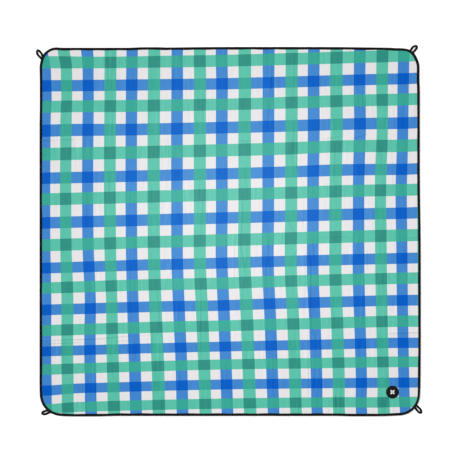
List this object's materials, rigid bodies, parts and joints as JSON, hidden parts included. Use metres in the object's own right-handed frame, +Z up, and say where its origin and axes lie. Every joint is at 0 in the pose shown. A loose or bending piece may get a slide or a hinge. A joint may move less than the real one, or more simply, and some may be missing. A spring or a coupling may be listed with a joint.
{
  "type": "picnic mat",
  "caption": "Square padded picnic mat: checked cover, foam pad, waterproof backing, bound edge, a peg loop at each rounded corner and a round sewn badge; it folds up into a strip.",
  "frame": {"origin": "centre of the underside of the mat as it lies open, on the ground plane", "axes": "+X to the right across the mat, +Y towards the back edge, +Z up out of the checked side; the badge is at the front right corner"},
  "size_m": [1.5264, 1.4705, 0.0049],
  "materials": {
    "check_cover": "woven polyester with a soft low sheen, printed in a two-colour check",
    "foam": "soft open foam",
    "backing": "coated woven cloth, satin",
    "binding_tape": "ribbed woven tape, matt",
    "sewing_thread": "twisted thread, slight sheen",
    "loop_tape": "ribbed woven tape, matt",
    "badge_rubber": "soft moulded rubber, satin",
    "badge_thread": "twisted thread",
    "badge_print": "raised matt white print"
  },
  "bodies": {
    "front_quarter": {"front_quarter_top_cover": "check_cover", "front_quarter_foam_pad": "foam", "front_quarter_backing": "backing", "front_quarter_binding": "binding_tape", "front_quarter_binding_thread": "sewing_thread", "front_left_loop_tail": "loop_tape", "front_left_bar_tack": "sewing_thread", "front_right_loop_tail": "loop_tape", "front_right_bar_tack": "sewing_thread", "badge": "badge_rubber", "badge_seam": "badge_thread", "badge_flower": "badge_print"},
    "front_middle": {"front_middle_top_cover": "check_cover", "front_middle_foam_pad": "foam", "front_middle_backing": "backing", "front_middle_binding": "binding_tape", "front_middle_binding_thread": "sewing_thread"},
    "back_middle": {"back_middle_top_cover": "check_cover", "back_middle_foam_pad": "foam", "back_middle_backing": "backing", "back_middle_binding": "binding_tape", "back_middle_binding_thread": "sewing_thread"},
    "back_quarter": {"back_quarter_top_cover": "check_cover", "back_quarter_foam_pad": "foam", "back_quarter_backing": "backing", "back_quarter_binding": "binding_tape", "back_quarter_binding_thread": "sewing_thread", "back_left_loop_tail": "loop_tape", "back_left_bar_tack": "sewing_thread", "back_right_loop_tail": "loop_tape", "back_right_bar_tack": "sewing_thread"},
    "front_left_loop": {"front_left_peg_loop": "loop_tape"},
    "front_right_loop": {"front_right_peg_loop": "loop_tape"},
    "back_left_loop": {"back_left_peg_loop": "loop_tape"},
    "back_right_loop": {"back_right_peg_loop": "loop_tape"}
  },
  "joints": [
    {"name": "front_fold", "type": "hinge", "parent": "front_middle", "child": "front_quarter", "pos_m": [0, -0.412, 0.006], "axis": [-1, 0, 0], "range_deg": [0, 179.9]},
    {"name": "back_fold", "type": "hinge", "parent": "back_middle", "child": "back_quarter", "pos_m": [0, 0.368, 0.006], "axis": [1, 0, 0], "range_deg": [0, 179.9]},
    {"name": "centre_fold", "type": "hinge", "parent": "front_middle", "child": "back_middle", "pos_m": [0, -0.023, 0.013], "axis": [1, 0, 0], "range_deg": [0, 179.9]},
    {"name": "front_left_loop_lift", "type": "hinge", "parent": "front_quarter", "child": "front_left_loop", "pos_m": [-0.72256, -0.71124, 0.00225], "axis": [0.4695, -0.8829, 0], "range_deg": [-110, 0]},
    {"name": "front_right_loop_lift", "type": "hinge", "parent": "front_quarter", "child": "front_right_loop", "pos_m": [0.7382, -0.69562, 0.00225], "axis": [0.7193, 0.6947, 0], "range_deg": [-110, 0]},
    {"name": "back_left_loop_lift", "type": "hinge", "parent": "back_quarter", "child": "back_left_loop", "pos_m": [-0.74144, 0.6903, 0.00225], "axis": [-0.8192, -0.5736, 0], "range_deg": [-110, 0]},
    {"name": "back_right_loop_lift", "type": "hinge", "parent": "back_quarter", "child": "back_right_loop", "pos_m": [0.72115, 0.71288, 0.00225], "axis": [-0.7986, 0.6018, 0], "range_deg": [-110, 0]}
  ]
}
